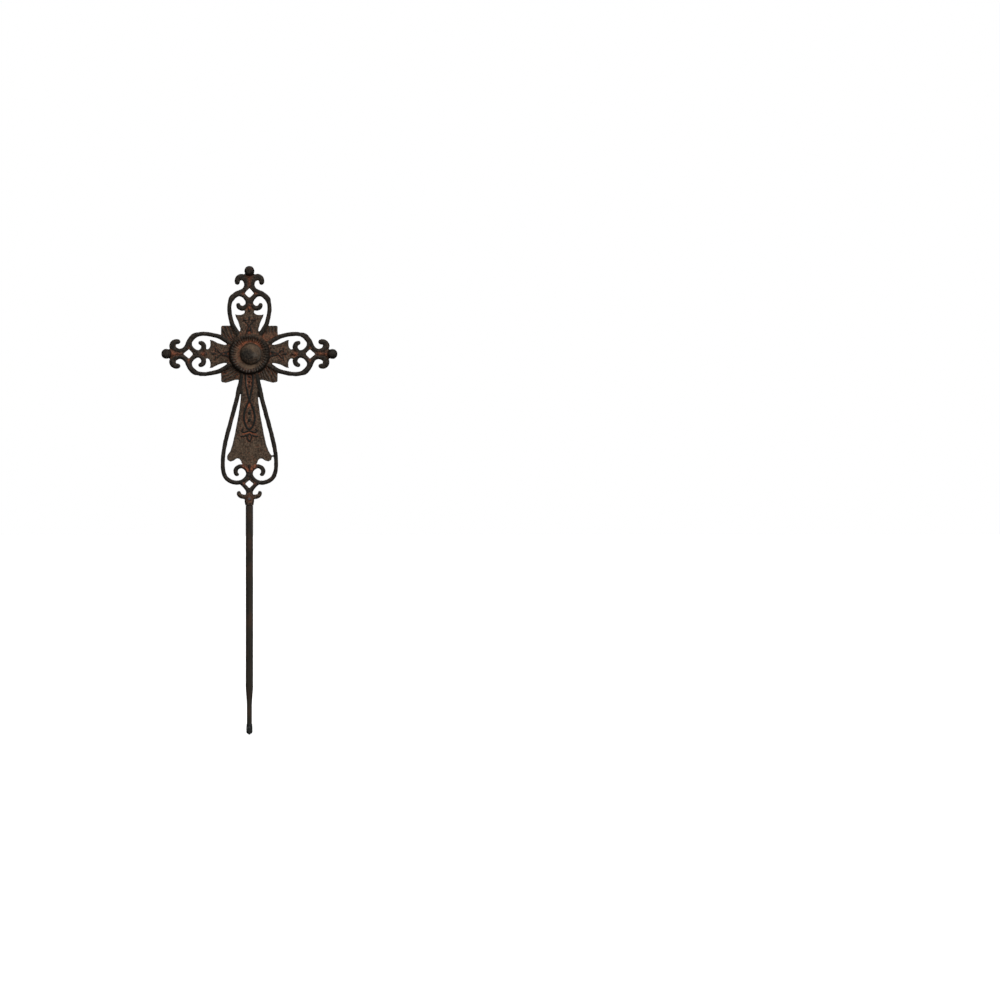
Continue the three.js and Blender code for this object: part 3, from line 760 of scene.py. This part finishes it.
def thinned_with_layers(mesh, points, layers):
    """The mesh with fewer triangles, each of its points with the values of the nearest old one."""
    tree = KDTree(len(points))
    for i, p in enumerate(points):
        tree.insert(p * MM, i)
    tree.balance()
    triangles = sum(len(p.vertices) - 2 for p in mesh.polygons)
    final = thinned(mesh, min(1, MOST_TRIANGLES / triangles))
    nearest = np.array([tree.find(v.co)[1] for v in final.vertices])
    for name, values in layers.items():
        set_values(final, name, values[nearest])
    return final


def cast_cross():
    """The casting as one skin: the joined forms, smoothed, roughened and raised by the relief."""
    form = casting_form()
    collar_from_frame(form)
    mesh = form.mesh(VOXEL)
    pairs = edges(mesh)
    points = positions(mesh)
    points[:, 2] -= BOSS_HEIGHT
    points = relaxed(points, pairs, 3)
    mesh_height = np.array([0, 0, BOSS_HEIGHT])
    set_positions(mesh, points + mesh_height)
    normal = normals(mesh)
    m = mapped_casting(points, normal[:, 1])
    calm = np.where(np.hypot(m["x"] - DOME_X, m["h"]) < DOME_RADIUS, 0.45, 1.0)
    rough = 0.24 * noise(points, 5, 1, 2) + 0.2 * noise(points, 2.1, 2, 2)
    pits = smoothstep(0.25, 0.85, noise(points, 2.6, 5, 2))
    points = points + normal * (0.2 + (rough - 0.5 * pits) * calm)[:, None]
    points[:, 1] -= casting_relief(m, points)
    points = relaxed(points, pairs, 1, 0.35)
    low, high = (np.array(corner) / MM - mesh_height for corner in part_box("cast_cross"))
    points = np.clip(points, low + 0.01, high - 0.01)
    set_positions(mesh, points + mesh_height)

    normal = normals(mesh)
    near = relaxed(points, pairs, 5)
    far = relaxed(near, pairs, 26)
    fine = ((points - near) * normal).sum(1)
    broad = ((points - far) * normal).sum(1)
    layers = casting_layers(m, points, fine, broad)
    layers["facing"] = facing_for_side_shade(m, normal, pairs)
    final = thinned_with_layers(mesh, points + mesh_height, layers)
    final.shade_smooth()
    final.name = "cast_cross_detail"
    obj = bpy.data.objects.new("cast_cross_detail", final)
    bpy.context.scene.collection.objects.link(obj)
    return obj


def lathe(name, profile, sides, wobble=None):
    """A turned form about the Z axis from rows of (radius, height), open ends closed by a point."""
    profile = np.array(profile, float)
    turn = np.linspace(0, 2 * math.pi, sides, endpoint=False)
    ring = np.stack([np.cos(turn), np.sin(turn)], 1)
    points = []
    faces = []
    for radius, height in profile:
        points.append(np.column_stack([ring * radius, np.full(sides, height)]))
    points = np.vstack(points)
    for row in range(len(profile) - 1):
        a = row * sides
        for j in range(sides):
            k = (j + 1) % sides
            faces.append((a + j, a + k, a + sides + k, a + sides + j))
    bottom, top = len(points), len(points) + 1
    points = np.vstack([points, [0, 0, profile[0][1]], [0, 0, profile[-1][1]]])
    last = (len(profile) - 1) * sides
    for j in range(sides):
        k = (j + 1) % sides
        faces.append((bottom, k, j))
        faces.append((top, last + j, last + k))
    if wobble is not None:
        out = points.copy()
        out[:, 2] = 0
        length = np.maximum(np.linalg.norm(out, axis=1), 1e-6)
        points = points + out / length[:, None] * wobble(points)[:, None]
    mesh = bpy.data.meshes.new(name)
    mesh.from_pydata((points * MM).tolist(), [], faces)
    mesh.validate()
    mesh.shade_smooth()
    obj = bpy.data.objects.new(name, mesh)
    bpy.context.scene.collection.objects.link(obj)
    return obj


def stake_rod():
    """The bar, drawn down at its lower end, with the turned part that goes up into the collar."""
    bottom = TIP_Z + 2.2
    shoulder = COLLAR_Z - 0.3
    thin, full = 3.25, 4.75
    profile = [(2.5, bottom), (3.0, bottom + 0.15), (thin, bottom + 0.6)]
    for z in np.linspace(bottom + 3, TIP_Z + 36, 24):
        profile.append((thin, z))
    for z in np.linspace(TIP_Z + 38, TIP_Z + 63, 22):
        profile.append((thin + (full - thin) * smoothstep(TIP_Z + 37, TIP_Z + 64, z), z))
    for z in np.linspace(TIP_Z + 66, shoulder - 0.6, 150):
        profile.append((full, z))
    profile += [(4.7, shoulder - 0.2), (4.5, shoulder), (4.0, shoulder), (4.0, shoulder + 0.5)]
    profile += [(4.0, shoulder + 10.8), (3.7, shoulder + 11.4)]

    def wobble(points):
        drawn = np.array([0.35, 0.35, 0.05])
        out = 0.09 * noise(points * drawn, 2.4, 3, 3) + 0.05 * noise(points, 1.6, 8, 2) + 0.06
        return out * (points[:, 2] < shoulder - 0.1) * (np.hypot(points[:, 0], points[:, 1]) > 2)

    return lathe("stake_rod_detail", profile, 72, wobble)


def tip_cap():
    """A soft push-on cap: a thin skirt, a fuller end and a small moulding nub."""
    z = TIP_Z
    outside = [
        (0.45, z), (1.1, z + 0.08), (1.4, z + 0.4), (1.5, z + 0.85), (1.8, z + 1.1), (2.7, z + 1.2),
        (3.3, z + 1.45), (3.7, z + 2), (3.93, z + 2.9), (4.05, z + 4.4), (4.08, z + 6.2), (4.05, z + 8),
        (3.96, z + 9.6), (3.86, z + 11), (3.8, z + 12.2), (3.76, z + 13.3), (3.7, z + 13.75),
        (3.6, z + 13.95), (3.5, z + 13.98), (3.42, z + 13.85),
        (3.4, z + 13.2), (3.4, z + 8), (3.4, z + 2.6), (3.3, z + 2.05), (2.0, z + 2.0),
    ]
    rows = [outside[0]]
    for (r0, z0), (r1, z1) in zip(outside[:-1], outside[1:]):
        steps = max(1, int(math.hypot(r1 - r0, z1 - z0) / 0.45))
        for i in range(1, steps + 1):
            rows.append((r0 + (r1 - r0) * i / steps, z0 + (z1 - z0) * i / steps))

    def wobble(points):
        radius = np.hypot(points[:, 0], points[:, 1])
        outer = (radius > 3.5) * (points[:, 2] < z + 13.5)
        seam = np.exp(-((np.abs(points[:, 1])) / 0.28) ** 2)
        out = 0.09 * noise(points, 2.0, 4, 2) - 0.16 * smoothstep(0.2, 0.8, noise(points, 1.7, 9, 1))
        return outer * (out + 0.05 * seam)

    return lathe("tip_cap_detail", rows, 64, wobble)


def set_screw():
    """A small round-headed screw with a slot, seen on the front of the collar."""
    low, high = (np.array(c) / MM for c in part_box("set_screw"))
    centre = (low + high) / 2
    front = low[1]
    back = high[1]
    head = 1.1
    profile = [(1.1, back), (1.1, front + head + 0.05), (1.68, front + head), (1.7, front + head - 0.25)]
    for i in range(1, 9):
        angle = i / 9 * math.pi / 2
        profile.append((1.7 * math.cos(angle) ** 0.8, front + head - 0.3 - 0.8 * math.sin(angle)))
    profile.append((0.12, front))
    obj = lathe("set_screw_detail", profile, 48)
    mesh = obj.data
    # The turned form's length becomes its depth, which mirrors it, so its faces are turned round at the end.
    turned = positions(mesh)[:, [0, 2, 1]]
    slot = smoothstep(0.42, 0.25, np.abs(turned[:, 0] * math.cos(0.6) + turned[:, 2] * math.sin(0.6)))
    turned[:, 1] += 0.45 * slot * (turned[:, 1] < front + head - 0.3)
    turned[:, 0] += centre[0]
    turned[:, 2] += centre[2]
    set_positions(mesh, turned)
    mesh.flip_normals()
    return obj


def srgb(*values):
    """A screen colour from 0 to 255 as the shader's linear one."""
    return tuple(((v / 255 + 0.055) / 1.055) ** 2.4 if v > 10 else v / 255 / 12.92 for v in values) + (1,)


class Nodes:
    """Short calls that add nodes to a material."""

    def __init__(self, name):
        self.material = bpy.data.materials.new(name)
        self.material.use_nodes = True
        self.tree = self.material.node_tree
        self.shader = self.tree.nodes["Principled BSDF"]
        self.place = self.add("ShaderNodeTexCoord").outputs["Object"]

    def add(self, kind, **settings):
        node = self.tree.nodes.new(kind)
        for key, value in settings.items():
            setattr(node, key, value)
        return node

    def link(self, source, target):
        self.tree.links.new(source, target)

    def value(self, name):
        return self.add("ShaderNodeAttribute", attribute_name=name).outputs["Fac"]

    def scaled(self, scale):
        node = self.add("ShaderNodeMapping")
        self.link(self.place, node.inputs["Vector"])
        node.inputs["Scale"].default_value = scale
        return node.outputs["Vector"]

    def noise(self, scale, detail=3.0, roughness=0.55, where=None):
        node = self.add("ShaderNodeTexNoise")
        self.link(where or self.place, node.inputs["Vector"])
        node.inputs["Scale"].default_value = scale
        node.inputs["Detail"].default_value = detail
        node.inputs["Roughness"].default_value = roughness
        return node.outputs["Fac"]

    def ramp(self, source, low, high, to_low=0.0, to_high=1.0):
        node = self.add("ShaderNodeMapRange", interpolation_type="SMOOTHSTEP")
        self.link(source, node.inputs["Value"])
        node.inputs["From Min"].default_value = low
        node.inputs["From Max"].default_value = high
        node.inputs["To Min"].default_value = to_low
        node.inputs["To Max"].default_value = to_high
        return node.outputs["Result"]

    def product(self, a, b):
        node = self.add("ShaderNodeMath", operation="MULTIPLY", use_clamp=True)
        for socket, value in zip(node.inputs, (a, b)):
            if isinstance(value, (int, float)):
                socket.default_value = value
            else:
                self.link(value, socket)
        return node.outputs[0]

    def mix(self, share, a, b):
        node = self.add("ShaderNodeMix", data_type="RGBA")
        self.link(share, node.inputs[0])
        for socket, value in ((node.inputs[6], a), (node.inputs[7], b)):
            if isinstance(value, tuple):
                socket.default_value = value
            else:
                self.link(value, socket)
        return node.outputs[2]

    def bump(self, height, strength, distance, before=None):
        node = self.add("ShaderNodeBump")
        node.inputs["Strength"].default_value = strength
        node.inputs["Distance"].default_value = distance
        self.link(height, node.inputs["Height"])
        if before is not None:
            self.link(before, node.inputs["Normal"])
        return node.outputs["Normal"]

    def finish(self, colour, roughness, normal, metallic=0.0, specular=0.5):
        self.link(colour, self.shader.inputs["Base Color"])
        self.link(roughness, self.shader.inputs["Roughness"])
        self.link(normal, self.shader.inputs["Normal"])
        self.shader.inputs["Metallic"].default_value = metallic
        self.shader.inputs["Specular IOR Level"].default_value = specular
        return self.material


def rusted_cast_iron():
    """Brown iron, with the casting's own values mixed in one after another, and the painted shade on sides
    that turn away last.
    """
    n = Nodes("rusted_cast_iron")
    blots = n.noise(90, 5, 0.6)
    grains = n.noise(470, 4, 0.68)
    specks = n.noise(1200, 3, 0.6)
    flecks = n.noise(640, 2, 0.5)
    rust = n.value("rust")
    dark = n.value("dark")
    wear_and_highlight = n.value("wear_and_highlight")
    painted_shade = n.value("painted_shade")
    tan_and_painted_light = n.value("tan_and_painted_light")
    ink_and_valley_shade = n.value("ink_and_valley_shade")
    facing = n.value("facing")
    brown = n.mix(n.ramp(blots, 0.34, 0.66), srgb(45, 36, 28), srgb(67, 54, 42))
    brown = n.mix(n.ramp(grains, 0.48, 0.68), brown, srgb(96, 81, 67))
    brown = n.mix(n.ramp(grains, 0.48, 0.34), brown, srgb(22, 17, 13))
    brown = n.mix(n.ramp(specks, 0.56, 0.72, 0, 0.8), brown, srgb(32, 25, 19))
    brown = n.mix(n.ramp(flecks, 0.6, 0.7, 0, 0.55), brown, srgb(118, 72, 46))
    smooth = n.mix(n.ramp(blots, 0.34, 0.66), srgb(76, 61, 47), srgb(96, 79, 62))
    # Smooth tan, partly the iron's own tone and partly painted light on the dome's top and the lines' lit
    # flanks.
    brown = n.mix(tan_and_painted_light, brown, n.mix(n.ramp(grains, 0.35, 0.65, 0.5, 0.0), smooth, srgb(48, 38, 29)))
    cold = n.mix(n.ramp(grains, 0.38, 0.66), srgb(14, 12, 9), srgb(48, 43, 37))
    shade = n.mix(n.product(dark, n.ramp(blots, 0.25, 0.55, 0.7, 1.0)), brown, cold)
    orange = n.mix(n.ramp(grains, 0.38, 0.64), srgb(84, 42, 25), srgb(142, 82, 56))
    patched = n.product(rust, n.ramp(grains, 0.3, 0.58, 0.35, 1.0))
    shade = n.mix(patched, shade, orange)
    # Grey from rubbed wear, and painted highlights.
    shade = n.mix(n.product(wear_and_highlight, 0.45), shade, srgb(112, 108, 102))
    # Painted shade: hollows, creases and the ring's shaded side are darkened towards near black.
    shade = n.mix(n.product(painted_shade, 0.5), shade, srgb(14, 10, 7))
    # Near-black lines and beads, and painted shade in the valleys beside the leg.
    shade = n.mix(n.product(ink_and_valley_shade, n.ramp(grains, 0.4, 0.8, 0.95, 0.6)), shade, srgb(15, 19, 18))
    # Painted shade: skin that turns away from the front is darkened at the sides and edges.
    shade = n.mix(n.ramp(facing, 0.92, 0.4, 0.0, 0.85), shade, srgb(13, 10, 6))
    roughness = n.ramp(grains, 0.3, 0.7, 0.56, 0.82)
    normal = n.bump(grains, 0.5, 0.0006)
    normal = n.bump(specks, 0.35, 0.0003, normal)
    return n.finish(shade, roughness, normal, specular=0.13)


def rod_steel():
    """A dark rust skin, drawn out along the bar."""
    n = Nodes("rod_steel")
    drawn = n.noise(60, 4, 0.6, n.scaled((14, 14, 0.55)))
    blots = n.noise(70, 5, 0.6, n.scaled((1, 1, 0.5)))
    grains = n.noise(900, 3, 0.6)
    base = n.mix(n.ramp(drawn, 0.35, 0.65), srgb(22, 19, 14), srgb(42, 35, 26))
    base = n.mix(n.ramp(blots, 0.46, 0.64, 0, 0.8), base, srgb(52, 36, 24))
    base = n.mix(n.ramp(grains, 0.54, 0.72), base, srgb(12, 10, 8))
    roughness = n.ramp(grains, 0.3, 0.7, 0.42, 0.56)
    normal = n.bump(drawn, 0.2, 0.0003)
    normal = n.bump(grains, 0.15, 0.0002, normal)
    return n.finish(base, roughness, normal, specular=0.17)


def black_rubber():
    """Scuffed black rubber, with soil rubbed into it."""
    n = Nodes("black_rubber")
    blots = n.noise(420, 4, 0.6)
    grains = n.noise(1500, 3, 0.6)
    base = n.mix(n.ramp(blots, 0.46, 0.62), srgb(6, 6, 6), srgb(62, 62, 61))
    base = n.mix(n.ramp(grains, 0.45, 0.75), base, srgb(18, 18, 19))
    roughness = n.ramp(blots, 0.3, 0.7, 0.5, 0.75)
    normal = n.bump(grains, 0.3, 0.0002, n.bump(blots, 0.5, 0.0004))
    return n.finish(base, roughness, normal, specular=0.16)


def screw_steel():
    """Blue-grey steel with small rust specks."""
    n = Nodes("screw_steel")
    blots = n.noise(900, 4, 0.6)
    grains = n.noise(2600, 3, 0.6)
    base = n.mix(n.ramp(blots, 0.4, 0.65), srgb(58, 64, 68), srgb(84, 90, 94))
    base = n.mix(n.ramp(grains, 0.55, 0.72), base, srgb(70, 48, 36))
    roughness = n.ramp(blots, 0.3, 0.7, 0.45, 0.65)
    return n.finish(base, roughness, n.bump(grains, 0.3, 0.0002), metallic=0.2, specular=0.3)


def dress(obj, node, material):
    """Puts a finished piece in the place of its solid."""
    obj.data.materials.clear()
    obj.data.materials.append(material)
    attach(obj, "root")
    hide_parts(node)


def camera():
    """A long lens straight in front of the cross, turned so that it stands in the photo's left half."""
    data = bpy.data.cameras.new("camera")
    data.lens = 300
    data.sensor_width = 36
    distance = PHOTO_SIDE * PIXEL * data.lens / data.sensor_width
    height = TIP_Z * MM + (PHOTO_END - PHOTO_SIDE / 2) * PIXEL
    obj = bpy.data.objects.new("camera", data)
    bpy.context.scene.collection.objects.link(obj)
    obj.location = (0, -distance, height)
    aim = Vector(((PHOTO_SIDE / 2 - PHOTO_STAKE) * PIXEL, distance, 0))
    obj.rotation_mode = "QUATERNION"
    obj.rotation_quaternion = aim.to_track_quat("-Z", "Y")
    data.clip_start = 0.1
    data.clip_end = 200
    bpy.context.scene.camera = obj


def sun(name, azimuth, elevation, strength, angle):
    """A soft light from that side. Azimuth 0 is the front and 90 the right-hand side."""
    data = bpy.data.lights.new(name, "SUN")
    data.energy = strength
    data.angle = math.radians(angle)
    obj = bpy.data.objects.new(name, data)
    bpy.context.scene.collection.objects.link(obj)
    a, e = math.radians(azimuth), math.radians(elevation)
    towards = Vector((math.sin(a) * math.cos(e), -math.cos(a) * math.cos(e), math.sin(e)))
    obj.rotation_mode = "QUATERNION"
    obj.rotation_quaternion = towards.to_track_quat("Z", "Y")
    obj.location = towards * 3


def studio():
    """White behind the cross, soft light from above and in front, four lamps and a pale floor."""
    world = bpy.data.worlds.new("studio")
    bpy.context.scene.world = world
    world.use_nodes = True
    tree = world.node_tree
    tree.nodes.clear()
    place = tree.nodes.new("ShaderNodeTexCoord")
    split = tree.nodes.new("ShaderNodeSeparateXYZ")
    tree.links.new(place.outputs["Generated"], split.inputs[0])
    height = tree.nodes.new("ShaderNodeMapRange")
    tree.links.new(split.outputs["Z"], height.inputs["Value"])
    height.inputs["From Min"].default_value = -0.6
    height.inputs["From Max"].default_value = 0.9
    height.inputs["To Min"].default_value = 0.16
    height.inputs["To Max"].default_value = 0.5
    # The room is darker behind the cross, so that its edges don't shine.
    depth = tree.nodes.new("ShaderNodeMapRange")
    tree.links.new(split.outputs["Y"], depth.inputs["Value"])
    depth.inputs["From Min"].default_value = -0.3
    depth.inputs["From Max"].default_value = 0.5
    depth.inputs["To Min"].default_value = 1.0
    depth.inputs["To Max"].default_value = 0.15
    both_ways = tree.nodes.new("ShaderNodeMath")
    both_ways.operation = "MULTIPLY"
    tree.links.new(height.outputs["Result"], both_ways.inputs[0])
    tree.links.new(depth.outputs["Result"], both_ways.inputs[1])
    soft = tree.nodes.new("ShaderNodeBackground")
    tree.links.new(both_ways.outputs[0], soft.inputs["Strength"])
    white = tree.nodes.new("ShaderNodeBackground")
    white.inputs["Strength"].default_value = 1.0
    rays = tree.nodes.new("ShaderNodeLightPath")
    mix = tree.nodes.new("ShaderNodeMixShader")
    tree.links.new(rays.outputs["Is Camera Ray"], mix.inputs[0])
    tree.links.new(soft.outputs[0], mix.inputs[1])
    tree.links.new(white.outputs[0], mix.inputs[2])
    out = tree.nodes.new("ShaderNodeOutputWorld")
    tree.links.new(mix.outputs[0], out.inputs["Surface"])
    for node in (soft, white):
        node.inputs["Color"].default_value = (1, 1, 1, 1)

    sun("key", 20, 44, 2.3, 50)
    sun("side", 64, 8, 0.9, 24)
    sun("fill", -40, 10, 0.7, 90)
    sun("back", 184, 32, 3.2, 40)

    size = 60
    mesh = bpy.data.meshes.new("floor")
    z = (TIP_Z - 0.1) * MM
    corners = [(-size, -size, z), (size, -size, z), (size, size, z), (-size, size, z)]
    mesh.from_pydata(corners, [], [(0, 1, 2, 3)])
    floor = bpy.data.objects.new("floor", mesh)
    bpy.context.scene.collection.objects.link(floor)
    n = Nodes("pale_floor")
    tone = n.mix(n.ramp(n.noise(3, 2), 0.3, 0.7), srgb(246, 246, 246), srgb(250, 250, 250))
    roughness = n.ramp(n.noise(5, 2), 0.3, 0.7, 0.9, 1.0)
    n.finish(tone, roughness, n.bump(n.noise(40, 2), 0.02, 0.0005), specular=0.0)
    mesh.materials.append(n.material)
    floor.visible_diffuse = False
    floor.visible_glossy = False


bpy.context.scene.view_settings.view_transform = "Standard"
camera()
studio()
dress(cast_cross(), "cast_cross", rusted_cast_iron())
dress(stake_rod(), "stake_rod", rod_steel())
dress(tip_cap(), "tip_cap", black_rubber())
dress(set_screw(), "set_screw", screw_steel())
